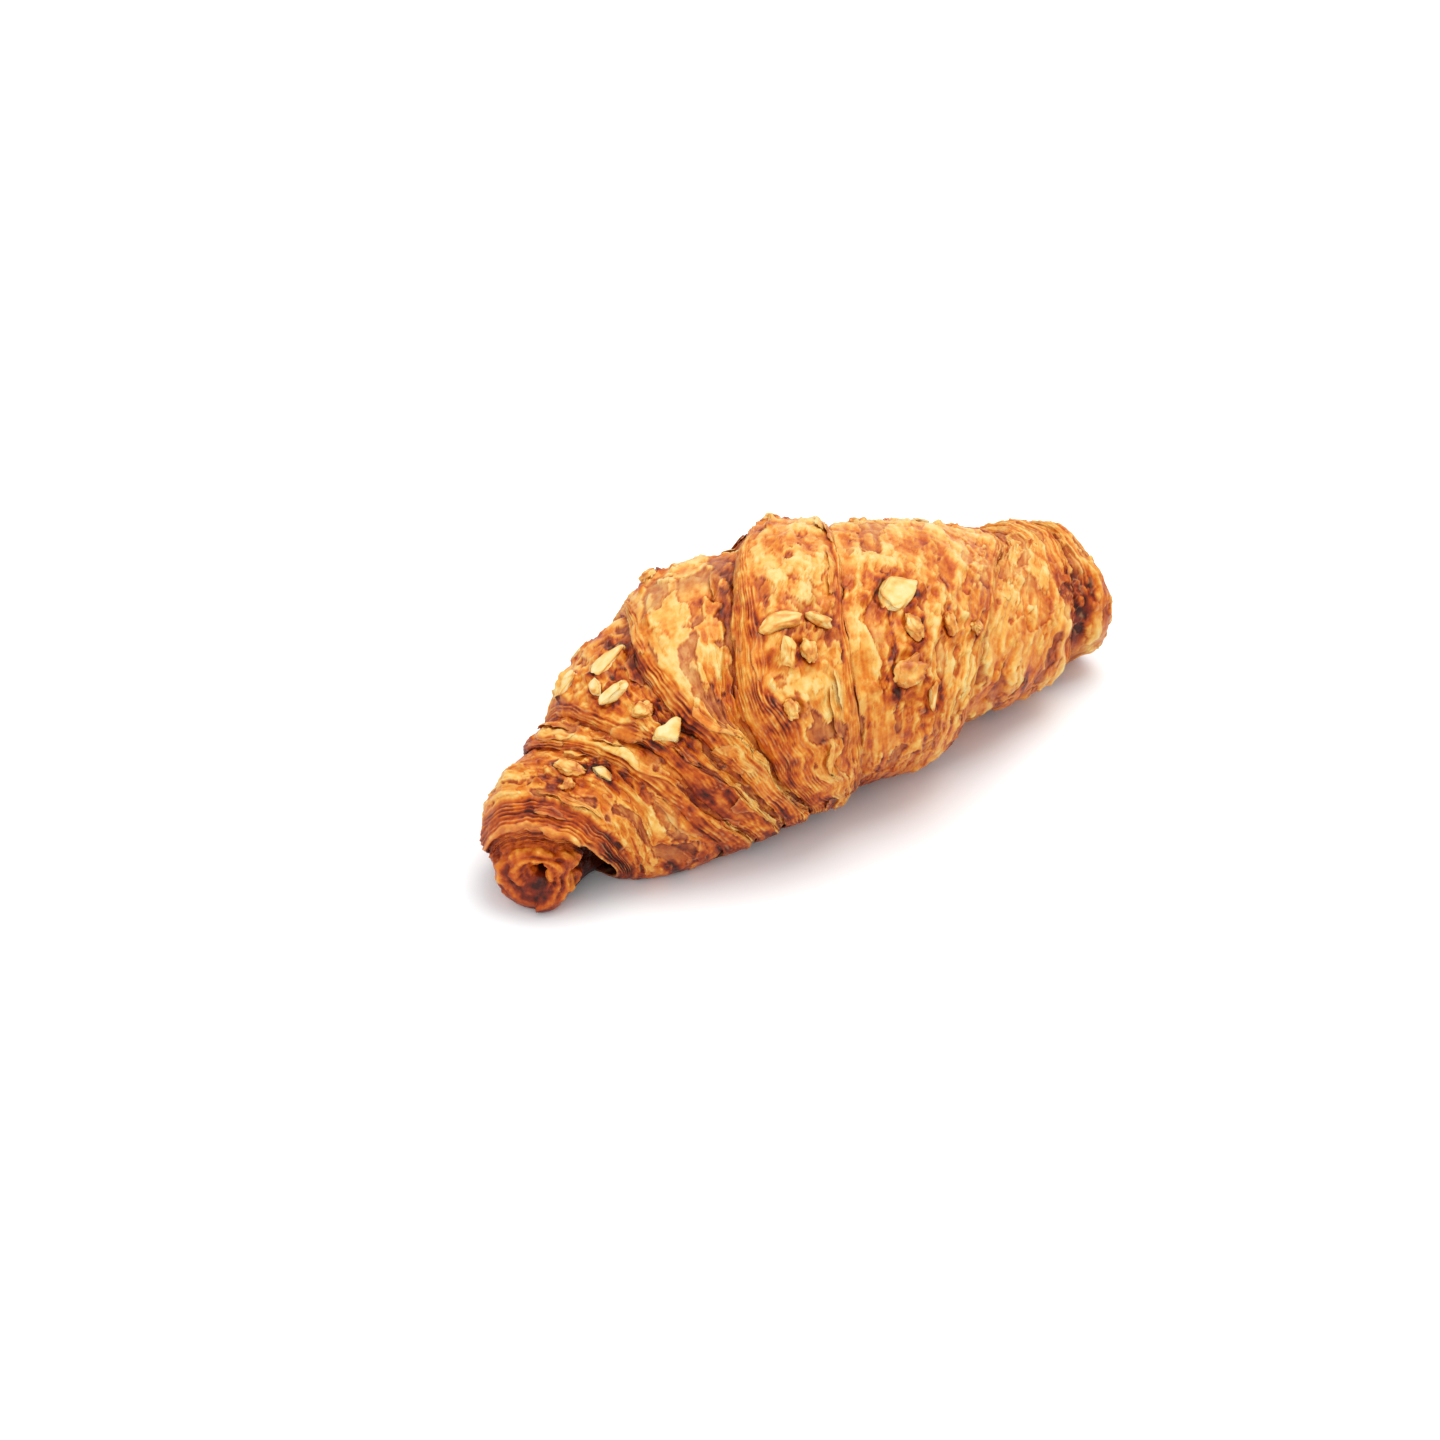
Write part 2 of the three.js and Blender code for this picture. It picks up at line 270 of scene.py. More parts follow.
def low_front(angle, from_front, to_front, from_low, to_low):
    """1 low on the front, 0 at the back and over the top, between the limits given."""
    return band(np.cos(np.radians(angle)), from_front, to_front) * band(under(angle), from_low, to_low)


def lip_station(lip, angle):
    """Station of a lip's edge, with a small wobble."""
    wobble = 0.5 * round_noise(angle, 3, sum(lip["at"]))
    wobble += 0.18 * round_noise(angle, 8, 9 + sum(lip["at"]))
    return round8(lip["at"], angle) / 100 * LENGTH + wobble


def lip_step(lip, angle):
    """Height of a lip over the wrap beside it."""
    ragged = 1 + 0.3 * round_noise(angle, 4, 5 + sum(lip["at"]))
    front = low_front(angle, 0.0, 0.7, 0.15, 0.6) * FRONT_STEP[lip["faces"]]
    return lip["step"] * ragged * (1 - (1 - LIP_FADE) * band(under(angle), 0.78, 1.0)) * (1 + front)


def lip_face(lip, angle):
    """Length of a lip's layered edge along X."""
    top, front = lip["face"]
    side = low_front(angle, -0.3, 0.5, 0.12, 0.55)
    uneven = 1 + 0.45 * round_noise(angle, 5, 3 + sum(lip["at"]))
    return (top + (front - top) * side) * uneven


def resample(points, step):
    """Even rows along control points given as a dict of (n, cols) arrays."""
    x, h = points["s"], points["h"]
    run = np.hypot(np.diff(x, axis=0), np.diff(h, axis=0)).mean(1)
    run = np.concatenate([[0], np.cumsum(run)])
    count = max(int(round(run[-1] / step)), 2)
    at = np.linspace(0, run[-1], count, endpoint=False)
    i = np.clip(np.searchsorted(run, at, side="right") - 1, 0, len(run) - 2)
    t = ((at - run[i]) / (run[i + 1] - run[i]))[:, None]
    return {k: v[i] * (1 - t) + v[i + 1] * t for k, v in points.items()}


def wrap_rows(k, angle):
    """Rows of wrap k from its left crease to its right one: station, height over the mean radius,
    distance over the layered edge and how much of the row is layered edge."""
    left = LIPS[k]
    right = LIPS[k + 1] if k + 1 < len(LIPS) else None
    from_s = lip_station(left, angle)
    to_s = lip_station(right, angle) if right else np.full(angle.shape, TAIL_START)
    width = to_s - from_s
    rows = []
    one = np.ones(angle.shape)

    def row(s, h, layer, face):
        rows.append(dict(s=s * one, h=h * one, layer=layer * one, face=face * one, wrap=k * one))

    def bullnose(lip, base, sign, share):
        """Rows over a lip's rounded edge, from its tuck up to its crest."""
        step = lip_step(lip, angle)
        length = np.minimum(lip_face(lip, angle), share * width)
        made = []
        for theta in np.radians([-25, -8, 6, 20, 34, 48, 62, 76, 90]):
            h = -step / 4 + 0.75 * step * np.sin(theta)
            s = base + sign * length * (1 - np.cos(theta))
            made.append((s, h, length * (1 - np.cos(theta)) + step * np.sin(theta), 1.0))
        made.insert(0, (base + sign * TUCK, -step / 2 - PINCH, -0.6 * one, 1.0))
        return made, step, length

    if k == 0:
        first, h0, s0 = [], np.zeros(angle.shape), from_s
    elif left["faces"] < 0:
        first, step, length = bullnose(left, from_s, 1, 0.62)
        h0, s0 = step / 2, from_s + length
    else:
        step = lip_step(left, angle)
        crease = (from_s - TUCK, -step / 2 - PINCH, 0 * one, 0.25)
        first = [crease, (from_s + CREASE_WIDTH, -step / 2, 0 * one, 0.1)]
        h0, s0 = -step / 2, from_s + CREASE_WIDTH
    if right is None:
        last, h1, s1 = [], np.zeros(angle.shape), to_s
    elif right["faces"] > 0:
        last, step, length = bullnose(right, to_s, -1, 0.5)
        last.reverse()
        h1, s1 = step / 2, to_s - length
    else:
        step = lip_step(right, angle)
        crease = (to_s + TUCK, -step / 2 - PINCH, 0 * one, 0.25)
        last = [(to_s - CREASE_WIDTH, -step / 2, 0 * one, 0.1), crease]
        h1, s1 = -step / 2, to_s - CREASE_WIDTH
    for s, h, layer, face in first:
        row(s, h, layer, face)
    for t in np.linspace(0.04, 0.96, 14):
        puffed = h0 + (h1 - h0) * smooth(t) + np.minimum(PUFF, 0.055 * width) * math.sin(math.pi * t)
        row(s0 + (s1 - s0) * t, puffed, 0, 0)
    for s, h, layer, face in last:
        row(s, h, layer, face)
    return resample({key: np.stack([r[key] for r in rows]) for key in rows[0]}, STEP)


def catmull(rings, step):
    """Even rows through rings of points (n, cols, 3) with an extra value per ring."""
    points = np.stack([r[0] for r in rings])
    extra = np.stack([np.broadcast_to(r[1], (points.shape[1], 3)) for r in rings])
    run = np.linalg.norm(np.diff(points, axis=0), axis=-1).mean(1)
    out_p, out_e = [], []
    for i in range(len(rings) - 1):
        a, b = points[max(i - 1, 0)], points[i]
        c, d = points[i + 1], points[min(i + 2, len(rings) - 1)]
        count = max(int(round(run[i] / step)), 2)
        for t in np.arange(count) / count:
            out_p.append(cubic(a, b, c, d, t) * 0.8 + (b + (c - b) * t) * 0.2)
            out_e.append(extra[i] * (1 - t) + extra[i + 1] * t)
    return np.stack(out_p), np.stack(out_e)


def left_end(angle):
    """The core, the slot round it and the collar's layered face, as rings from the core's hollow out.
    Each ring carries (layer distance, layered edge, core)."""
    collar = LIPS[0]
    edge = lip_station(collar, angle)
    slot = round8(GAP_DEPTH, angle)
    a = np.radians(angle)
    slim = 1 - CORE_SLIM * band(np.cos(a), 0.1, 0.9) * band(np.sin(a), 0.75, 0.2)
    rings = []
    for inward, radius in CORE_RINGS:
        ring = section(CORE_FRONT + inward + 0 * angle, angle, radius * slim, CORE_CENTRE)
        ring += np.array(CORE_TILT) * max(0.0, 1 - radius / 8.0)
        beak = np.exp(-((a + math.pi / 2) / 0.7) ** 2) * band(radius, 4.0, 8.0)
        ring[:, 0] -= 1.2 * beak
        ring[:, 1] -= 0.8 * beak
        rings.append((ring, (radius, 0.0, 1.0)))
    slot_end = edge - COLLAR_FACE + slot
    start = np.minimum(CORE_FRONT + 4.2, slot_end - 0.6)
    for t in (0.0, 0.5, 1.0):
        s = start + (slot_end - start) * t
        ring = section(s, angle, (CORE_RADIUS + 0.5 * t) * slim, CORE_CENTRE + 0.9 * t)
        rings.append((ring, (9.0, 0.0, 1.0 - 0.3 * t)))
    radius, centre = mean_radius(edge), skin_centre(edge)
    thick = round8(RIM_THICK, angle)
    for along, deep in ((0.75, 1.15), (0.1, 1.0)):
        ring = section(edge - COLLAR_FACE + slot * along, angle, radius - thick * deep, centre)
        rings.append((ring, (0.0, 0.5, 0.35)))
    for along, deep in COLLAR_RINGS:
        ring = section(edge - COLLAR_FACE * (1 - along), angle, radius - thick * deep, centre)
        rings.append((ring, (along * 6.0, 1.0, 0.0)))
    ring = section(edge, angle, radius, centre)
    rings.append((ring, (6.4, 0.6, 0.0)))
    return catmull(rings, STEP)


def right_end(angle):
    """The blunt end, from the last wrap in to its dimple."""
    radius, centre = mean_radius(LENGTH), skin_centre(LENGTH)
    profile = mean_radius(TAIL_PROFILE), skin_centre(TAIL_PROFILE)
    first = section(TAIL_START + 0 * angle, angle, *profile)
    rings = [(first, (0, 0, 0))]
    for inward, share in END_RINGS + [(DIMPLE, 0.02)]:
        ring = section(LENGTH - inward + 0 * angle, angle, radius * share, centre)
        rings.append((ring, (radius * share, 0.0, 0.6 * band(1 - share, 0.1, 0.4))))
    return catmull(rings, STEP)


def grid_normals(p):
    """Outward unit normals of a (rows, cols, 3) grid that closes round the roll."""
    along = np.gradient(p, axis=0)
    around = (np.roll(p, -1, axis=1) - np.roll(p, 1, axis=1)) / 2
    n = np.cross(around, along)
    return -n / np.maximum(np.linalg.norm(n, axis=-1, keepdims=True), 1e-9)


def blur(field, rows, cols):
    """Soft blur of a (rows, cols) field that closes round the roll; widths in samples."""
    pad = int(3 * rows) + 1
    tall = np.pad(field, ((pad, pad), (0, 0)), mode="edge")
    fy = np.fft.fftfreq(tall.shape[0])[:, None]
    fx = np.fft.rfftfreq(tall.shape[1])[None, :]
    keep = np.exp(-2 * math.pi ** 2 * ((fy * rows) ** 2 + (fx * cols) ** 2))
    return np.fft.irfft2(np.fft.rfft2(tall) * keep, s=tall.shape)[pad:-pad]


angle = np.arange(COLS) * 360.0 / COLS - 90
head, head_extra = left_end(angle)
wraps = [wrap_rows(k, angle) for k in range(len(LIPS))]
wrap = {key: np.concatenate([w[key] for w in wraps]) for key in wraps[0]}
wrap_points = section(wrap["s"], angle, mean_radius(wrap["s"]) + wrap["h"], skin_centre(wrap["s"]))
tail, tail_extra = right_end(angle)
base = np.concatenate([head, wrap_points, tail])
rows = len(base)
n_head, n_tail = len(head), len(tail)

ones = np.ones((rows, COLS))
layer = np.concatenate([head_extra[..., 0], wrap["layer"], tail_extra[..., 0]])
face = np.concatenate([head_extra[..., 1], wrap["face"], tail_extra[..., 1]])
core = np.concatenate([head_extra[..., 2], np.zeros_like(wrap["s"]), tail_extra[..., 2]])
skin = 1 - np.clip(face + core, 0, 1)
spacing = np.linalg.norm(np.diff(base, axis=0), axis=-1).mean(1)
flow = np.concatenate([[0], np.cumsum(spacing)])[:, None] * np.ones((1, COLS))
radial = np.linalg.norm(np.stack([base[..., 1], base[..., 2] - 15], -1), axis=-1)
turns = np.radians(angle)[None, :] * ones
round_y, round_z = np.cos(turns) * radial, np.sin(turns) * radial


def streaks(across, along, seed, octaves=2):
    """Noise drawn out along the lips: features about `across` by `along` in size."""
    total, power, scale = 0.0, 1.0, 1.0
    for i in range(octaves):
        total = total + power * noise(flow / across * scale + seed, round_y / along * scale + 3.1 * i,
                                      round_z / along * scale + seed)
        power *= 0.5
        scale *= 1.9
    return total


# ---- where the nuts lie ----
node_low, node_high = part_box("croissant")
shift = np.array([
    (node_low.x + node_high.x) / 2 / MM - (base[..., 0].min() + base[..., 0].max()) / 2,
    (node_low.y + node_high.y) / 2 / MM - (base[..., 1].min() + base[..., 1].max()) / 2,
    0.0,
])


def nut_frames():
    """Centre, axes (long, wide, out) and half sizes of each packed nut, in the roll's millimetres."""
    found = {}
    for name, obj in sorted(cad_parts.items()):
        if not name.startswith("nut_"):
            continue
        points = np.array([v.co for v in obj.data.vertices]) / MM - shift
        centre = points.mean(0)
        axes = np.linalg.svd(points - centre, full_matrices=False)[2]
        outward = centre - np.array([centre[0], 0.0, 14.0])
        if axes[2] @ outward < 0:
            axes[2] *= -1
        axes[1] = np.cross(axes[2], axes[0])
        local = (points - centre) @ axes.T
        middle = (local.max(0) + local.min(0)) / 2
        found[name] = dict(centre=centre + middle @ axes, axes=axes, half=(local.max(0) - local.min(0)) / 2)
    return found


nuts = nut_frames()
seat = np.zeros((rows, COLS))      # 1 under a nut
rim_of_nut = np.zeros((rows, COLS))
cluster = np.zeros((rows, COLS))   # 1 where nuts and crumbs gather
for nut in nuts.values():
    offset = base - nut["centre"]
    local = offset @ nut["axes"].T
    long, wide, high = nut["half"]
    away = (local[..., 0] / long) ** 2 + (local[..., 1] / wide) ** 2 + (local[..., 2] / (high + 3)) ** 2
    away = np.sqrt(away)
    seat = np.maximum(seat, band(away, 1.25, 0.75))
    rim_of_nut = np.maximum(rim_of_nut, np.exp(-((away - 1.12) / 0.22) ** 2))
    cluster = np.maximum(cluster, np.exp(-(np.linalg.norm(offset, axis=-1) / (long + 5.0)) ** 2))

# ---- relief: heights in millimetres ----
SHEET_PITCH = 0.95             # from one thin sheet of dough to the next
SHEET_HEIGHT = 0.50
STRAND_HEIGHT = 0.20
TATTER_HEIGHT = 0.30
FOLD_HEIGHT = 0.8
PLATE_HEIGHT = 0.30
FLAKE_HEIGHT = 0.20
BEAD_HEIGHT = 0.85
GRIT_HEIGHT = 0.38
NUT_RIM_HEIGHT = 0.60          # crust raised round a nut
BURNT_DEPTH = 0.8
COIL_PITCH = 2.7
TRAY_SOFTNESS = 0.35           # rounding where the flat base starts

normal = grid_normals(base)
soft_face = np.clip(blur(face, 0.5 / STEP, 1), 0, 1)
near_face = np.clip(blur(face, 3.0 / STEP, 3) * 1.6, 0, 1)
upward = band(under(angle), 1.0, 0.7)[None, :] * ones
at_angle = angle[None, :] * ones
wrap_number = np.concatenate([np.full((n_head, COLS), -1.0), wrap["wrap"], np.full((n_tail, COLS), 9.0)])

# The layered edges of the dough: thin sheets, drawn out along the lip.
phase = layer / SHEET_PITCH + 1.1 * streaks(8.0, 15.0, 2.0) + 0.45 * streaks(2.4, 8, 8.0)
sheet = 1 - np.abs((phase % 1.0) - 0.5) * 2
sheet = sheet ** 1.3
sheet_strength = 0.25 + 0.75 * band(fbm(base, 7.0, 3, 31.0), -0.35, 0.35)
strands = streaks(0.75, 11.0, 33.0, 2)
tatter = fbm(base, 2.6, 3, 37.0)
lamination = (sheet - 0.4) * SHEET_HEIGHT * sheet_strength
lamination += STRAND_HEIGHT * strands + TATTER_HEIGHT * np.maximum(tatter, 0)

# Plates of glazed crust, drawn out along the wraps, over a duller skin.
warp = 1.5 * fbm(base, 3.4, 2, 40.0)
plate = streaks(5.5, 15.0, 80.0, 2) + 0.42 * fbm(base, 4.6, 4, 70.0) + 0.08 * warp
plate_cut = -0.22 + 0.12 * fbm(base, 30.0, 1, 75.0)
glaze = band(plate, plate_cut, plate_cut + 0.07)
curl = np.exp(-((plate - plate_cut - 0.10) / 0.07) ** 2)
small = streaks(2.6, 8.0, 90.0, 2) + 0.4 * fbm(base, 2.4, 2, 95.0)
flake = band(small, 0.22, 0.30)
flake_curl = np.exp(-((small - 0.30) / 0.06) ** 2)

# Blisters, wrinkles along the wraps, and beads and grit that gather round the nuts.
blisters = np.maximum(fbm(base, 9.0, 3, 1.0) + 0.05, 0) ** 1.3 * 1.1 - 0.3
wrinkle = streaks(1.5, 10.0, 4.0) * 0.15

bead_far, bead_id = cells(base + 0.5 * warp[..., None], 3.6, 11.0)
bead_size = 0.22 + 0.22 * ((bead_id * 7.3) % 1.0)
bead_here = (bead_id < 0.10 + 0.75 * cluster) * skin * upward
beads = domes(bead_far, bead_size) * bead_here
grit_far, grit_id = cells(base, 1.9, 23.0)
grit = domes(grit_far, 0.42) * (grit_id < 0.65) * band(cluster, 0.3, 0.8) * skin

# Crinkled skin, roughest toward the open end, and broad folds. The blunt half is more satin.
crinkle = ridge(streaks(3.0, 7.0, 120.0, 2), 3)
crinkle += 0.55 * ridge(streaks(1.4, 4.0, 130.0, 2) + 0.3 * tatter, 4)
rough_place = 1 - band(base[..., 0], -20.0, 25.0)
rough_zone = band(fbm(base, 14.0, 2, 142.0) + 0.35 * rough_place, 0.1, 0.5)
satin = band(base[..., 0], -10.0, 20.0) * (1 - 0.8 * face)
crinkle *= 0.35 + 0.65 * band(fbm(base, 11.0, 2, 140.0), -0.35, 0.3)
folds = ridge(streaks(6.5, 15.0, 145.0, 2) + 0.25 * fbm(base, 5.0, 2, 147.0), 2.5)
folds *= band(fbm(base, 22.0, 1, 149.0), -0.5, 0.3) * upward
relief = skin * (
    FOLD_HEIGHT * folds - 0.3 + blisters + PLATE_HEIGHT * glaze + 0.12 * curl
    + FLAKE_HEIGHT * flake + 0.10 * flake_curl
    + wrinkle + (0.14 + 0.30 * rough_zone) * (crinkle - 0.5))
relief += skin * (
    BEAD_HEIGHT * beads * (1 - 0.5 * seat) + GRIT_HEIGHT * grit
    + 0.35 * band(cluster, 0.2, 0.9) * fbm(base, 3.0, 2, 99.0))
relief += soft_face * (lamination + 0.35 * blisters)

# The core's end face is a rolled coil, crumpled as it baked.
coil_radius = layer * (core > 0.5)
coil = np.sin(2 * math.pi * (coil_radius / COIL_PITCH + at_angle / 360.0) + 1.8 * fbm(base, 6.0, 2, 155.0))
relief += core * (
    1.1 * fbm(base, 4.0, 3, 150.0) + 0.25 * coil * band(coil_radius, 2.2, 4.0) + 0.4 * (crinkle - 0.4))


def near_spot(percent, turn, size):
    """1 at a place on the skin, fading out over about size millimetres."""
    s = np.array([percent / 100 * LENGTH])
    place = section(s, np.array([turn * 1.0]), mean_radius(s), skin_centre(s))[0]
    return np.exp(-(np.linalg.norm(base - place, axis=-1) / size) ** 2)


# A dark blistered hollow low on the front of the blunt end.
burnt = near_spot(93.0, 22, 5.5) + near_spot(91.0, 2, 5.0) + 0.7 * near_spot(93.5, 45, 4.5)
burnt = np.clip(burnt, 0, 1)
knobs_far, knobs_id = cells(base, 2.7, 41.0)
knobs = domes(knobs_far, 0.5) * (knobs_id < 0.75)
relief += band(burnt, 0.15, 0.8) * (knobs - BURNT_DEPTH)
relief = relief * (1 - seat) + np.minimum(relief, 0.15) * seat
relief += NUT_RIM_HEIGHT * rim_of_nut * (1 - seat)
relief *= 0.25 + 0.75 * upward
shown = base + normal * relief[..., None]

# The base is pressed flat by the tray, with a little relief left in it.
tray = 0.12 + 0.12 * np.clip(fbm(base, 4.0, 2, 160.0) + 0.6, 0, 1.6)
low = shown[..., 2] - tray
shown[..., 2] = tray + 0.5 * (low + np.sqrt(low * low + TRAY_SOFTNESS ** 2)) - 0.12
shown[..., 2] = np.maximum(shown[..., 2], 0.02)

# ---- colour fields ----
height = np.concatenate([np.zeros((n_head, COLS)), wrap["h"], np.zeros((n_tail, COLS))]) + relief
# Height below the blurred height round it: painted shade in hollows and painted highlight on raised places,
# at three sizes.
small_painted_shading = blur(height, 0.5 / STEP, 1.0 * COLS / FINE_COLS) - height
painted_shading = blur(height, 1.0 / STEP, 2.0 * COLS / FINE_COLS) - height
wide_painted_shading = blur(height, 4.0 / STEP, 8.0 * COLS / FINE_COLS) - height
patches = fbm(base, 13.0, 3, 200.0)
fine = fbm(base, 2.0, 3, 210.0)

low_down = 1 - band(base[..., 2], 6.0, 40.0)
drawn = streaks(2.6, 20.0, 225.0, 3)
left_low = 1 - band(base[..., 0] + LENGTH / 2, 14.0, 60.0)
bead_dark = ((bead_id * 13.7) % 1.0) > 0.45
# A painted shadow line just outside the edge of each plate and each flake.
plate_edge_shadow = np.exp(-((plate - plate_cut + 0.02) / 0.05) ** 2) * skin
flake_edge_shadow = np.exp(-((small - 0.20) / 0.035) ** 2) * skin
head_only = (np.arange(rows) < n_head)[:, None] * ones
# Painted shade in the slot between the core and the collar, darkest where it opens on the front.
slot_shade = np.concatenate([head_extra[..., 2], np.zeros((rows - n_head, COLS))])
slot_shade = band(slot_shade, 0.99, 0.85) * band(slot_shade, 0.2, 0.34) * (layer < 9.5)
open_side = band(np.cos(turns), -0.1, 0.5) * band(np.sin(turns), 0.85, 0.5)
inner_edge = np.exp(-((layer - 0.35) / 0.35) ** 2) * (face > 0.6) * head_only

# How far each place is baked, with painted shade and painted highlight added in: 0 is pale gold, 0.5
# orange-brown, 1 nearly burnt.
bake_and_shade = 0.30 + 0.10 * left_low + 0.12 * patches + 0.04 * fine
bake_and_shade += (0.03 + 0.06 * rough_zone) * streaks(1.8, 9, 220.0)
# Painted shade darkens hollows and a painted highlight lightens raised edges, at three sizes.
bake_and_shade += 0.22 * np.clip(painted_shading, -0.5, 1.0) + 0.10 * np.clip(wide_painted_shading, -0.8, 1.6)
bake_and_shade += 0.20 * np.clip(small_painted_shading, -0.25, 0.4)
# Lines drawn out along the wraps, then a painted shadow line along the edges of plates and flakes.
bake_and_shade += band(drawn, 0.15, 0.6) * (0.10 + 0.20 * low_down) * (1 - core) - 0.10 * band(drawn, -0.1, -0.5)
bake_and_shade += (0.18 - 0.08 * satin) * plate_edge_shadow + (0.15 - 0.09 * satin) * flake_edge_shadow - 0.07 * glaze * skin
# Beads, grit and the crust round the nuts.
bake_and_shade += (0.10 + 0.42 * bead_dark) * beads + 0.24 * band(cluster, 0.35, 0.9) * (0.5 + fine)
bake_and_shade += 0.30 * rim_of_nut + 0.20 * grit * (grit_id < 0.4)
# Broad patches, paler crinkles and folds, layered edges and the core; the hollow at the core's middle is
# painted dark, a painted shade.
bake_and_shade += 0.12 * band(patches + 0.4 * fine, 0.2, 0.6)
bake_and_shade -= 0.09 * (crinkle - 0.5) * skin + 0.10 * (folds - 0.4) * skin
bake_and_shade += soft_face * (0.16 + 0.22 * (0.5 - sheet) * sheet_strength - 0.12 * strands - 0.12 * tatter)
bake_and_shade += core * (0.05 - 0.06 * coil + 0.6 * band(coil_radius, 2.0, 1.2) * (coil_radius > 0))
# Low and shaded places, the burnt hollow, painted shade in the slot, and the collar's inner edge.
bake_and_shade += 0.16 * (1 - upward) + 0.17 * low_down + 0.38 * burnt * (1 - 0.4 * knobs)
bake_and_shade += 0.60 * slot_shade * (0.15 + 0.85 * open_side)
bake_and_shade -= 0.22 * inner_edge
bake_and_shade = np.clip(bake_and_shade, 0, 1)

# 1 where the skin between the plates shows, dull and a little mauve.
dull = (1 - glaze) * skin * (1 - 0.6 * flake) * (1 - 0.6 * band(cluster, 0.3, 0.8)) * (1 - 0.8 * beads)
dull = np.clip(dull * band(fbm(base, 16.0, 2, 245.0), -0.35, 0.2) * (1 - 0.35 * satin), 0, 1)
dull = np.clip(dull + 0.35 * soft_face * band(streaks(2.0, 9, 250.0), 0.1, 0.5), 0, 1)

# 1 where thin pale film is left, along sheet edges and the collar's inner edge, and a painted highlight
# along the curled edges of torn plates and flakes.
film_and_highlight = 0.8 * soft_face * band(sheet, 0.6, 0.9) * band(streaks(3.0, 9, 260.0), -0.1, 0.4)
film_and_highlight = film_and_highlight + 0.45 * inner_edge + 0.6 * (curl + flake_curl) * skin * band(fine, -0.1, 0.4)
film_and_highlight = np.clip(film_and_highlight, 0, 1) * (1 - core)


def tube_faces(rows, cols):
    """Quads of a closed tube, with a fan to a point at each end: points are first, rows, last."""
    r = np.arange(rows - 1)[:, None]
    c = np.arange(cols)[None, :]

    def index(row, col):
        return 1 + row * cols + col % cols

    quads = np.stack([index(r, c), index(r + 1, c), index(r + 1, c + 1), index(r, c + 1)], -1)
    quad_rows = np.stack([r + 0 * c, r + 1 + 0 * c, r + 1 + 0 * c, r + 0 * c], -1).reshape(-1, 4)
    quad_cols = np.stack([c + 0 * r, c + 0 * r, c + 1 + 0 * r, c + 1 + 0 * r], -1).reshape(-1, 4)
    quad_uv = np.stack([(quad_rows + 1) / (rows + 1), quad_cols / cols], -1).reshape(-1, 2)
    c = c.ravel()
    first = np.stack([0 * c, index(0, c), index(0, c + 1)], -1)
    last = np.stack([0 * c + 1 + rows * cols, index(rows - 1, c + 1), index(rows - 1, c)], -1)
    first_rows = np.stack([0 * c, 0 * c + 1, 0 * c + 1], -1) / (rows + 1)
    first_cols = np.stack([c + 0.5, c, c + 1], -1) / cols
    first_uv = np.stack([first_rows, first_cols], -1).reshape(-1, 2)
    last_rows = np.stack([0 * c + rows + 1, 0 * c + rows, 0 * c + rows], -1) / (rows + 1)
    last_cols = np.stack([c + 0.5, c + 1, c], -1) / cols
    last_uv = np.stack([last_rows, last_cols], -1).reshape(-1, 2)
    return quads.reshape(-1, 4), first, last, np.concatenate([quad_uv, first_uv, last_uv])


def put_fields(mesh, fields):
    """Number fields, one value a point, that the materials read by name."""
    for key, value in fields.items():
        mesh.attributes.new(key, "FLOAT", "POINT").data.foreach_set("value", value.astype(np.float32))


def put_in_scene(name, mesh):
    """The mesh as an object of the scene."""
    obj = bpy.data.objects.new(name, mesh)
    bpy.context.scene.collection.objects.link(obj)
    return obj


def close_tube(name, grid, fields):
    """A closed piece from a grid of rows round the roll, with an atlas for baking."""
    rows, cols = grid.shape[:2]
    quads, first, last, uv = tube_faces(rows, cols)
    points = np.concatenate([[grid[0].mean(0)], grid.reshape(-1, 3), [grid[-1].mean(0)]])
    values = {
        key: np.concatenate([[value[0].mean()], value.ravel(), [value[-1].mean()]])
        for key, value in fields.items()
    }
    flat = np.concatenate([quads.ravel(), first.ravel(), last.ravel()])
    sizes = np.concatenate([np.full(len(quads), 4), np.full(len(first) + len(last), 3)])
    mesh = bpy.data.meshes.new(name)
    mesh.vertices.add(len(points))
    mesh.vertices.foreach_set("co", (points * MM).astype(np.float32).ravel())
    mesh.loops.add(len(flat))
    mesh.loops.foreach_set("vertex_index", flat.astype(np.int32))
    mesh.polygons.add(len(sizes))
    starts = np.concatenate([[0], np.cumsum(sizes)[:-1]])
    mesh.polygons.foreach_set("loop_start", starts.astype(np.int32))
    mesh.polygons.foreach_set("loop_total", sizes.astype(np.int32))
    mesh.update(calc_edges=True)
    mesh.polygons.foreach_set("use_smooth", np.full(len(sizes), True))
    mesh.uv_layers.new(name="OFBake").data.foreach_set("uv", uv.astype(np.float32).ravel())
    put_fields(mesh, values)
    return put_in_scene(name, mesh)


def sample(grid, row, col):
    """Values of a (rows, cols, ...) grid at fractional rows and columns; columns close round the roll."""
    row = np.clip(row, 0, grid.shape[0] - 1.001)
    r, c = np.floor(row).astype(int), np.floor(col).astype(int)
    tr, tc = row - r, col - c
    if grid.ndim == 3:
        tr, tc = tr[..., None], tc[..., None]
    near, far = grid[r, c % COLS], grid[r, (c + 1) % COLS]
    near_up, far_up = grid[r + 1, c % COLS], grid[r + 1, (c + 1) % COLS]
    return (near * (1 - tc) + far * tc) * (1 - tr) + (near_up * (1 - tc) + far_up * tc) * tr


FLAKE_COUNT = 70
FLAKE_SEED = 17
FLAKE_FLOOR = 0.05             # lowest that a flake reaches


